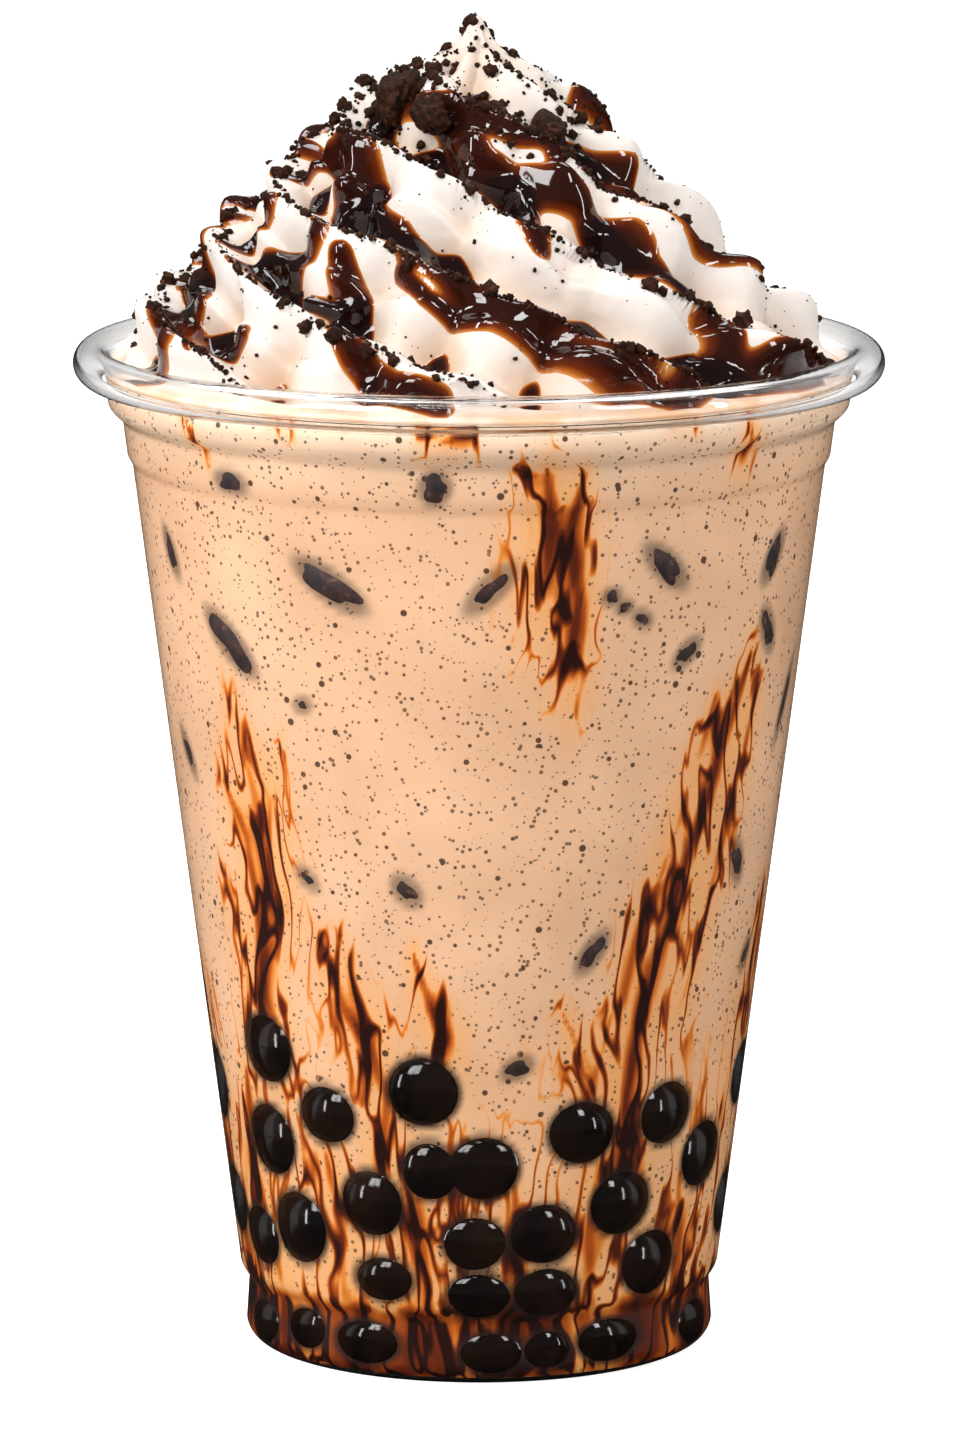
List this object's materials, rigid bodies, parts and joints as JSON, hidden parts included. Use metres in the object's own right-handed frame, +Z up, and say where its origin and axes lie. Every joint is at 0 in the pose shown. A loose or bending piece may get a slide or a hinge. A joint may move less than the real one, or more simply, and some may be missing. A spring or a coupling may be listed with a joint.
{
  "type": "bubble tea",
  "caption": "Clear plastic cup of milk tea with dark tapioca pearls and brown sugar streaks, under a tall piped swirl of whipped cream with chocolate sauce and cookie crumbs.",
  "frame": {"origin": "middle of the cup's foot, on the surface that it stands on", "axes": "+Z up the cup's axis, -Y towards the side with the large cookie piece, +X to the right seen from there"},
  "size_m": [0.0982, 0.0982, 0.163],
  "materials": {
    "clear_plastic": "clear, glossy thin sheet",
    "milk_tea": "opaque tan drink with fine dark specks, wet",
    "pearls": "black, wet and glossy",
    "brown_sugar": "dark syrup, orange where thin",
    "whipped_cream": "soft satin, warm white",
    "chocolate_sauce": "wet gloss, orange brown where thin",
    "cookie": "dry, rough and crumbly"
  },
  "bodies": {
    "root": {"cup": "clear_plastic", "milk_tea": "milk_tea", "whipped_cream": "whipped_cream", "cookie_piece_large": "cookie", "cookie_piece_small": "cookie", "cookie_piece_right": "cookie"}
  },
  "joints": []
}
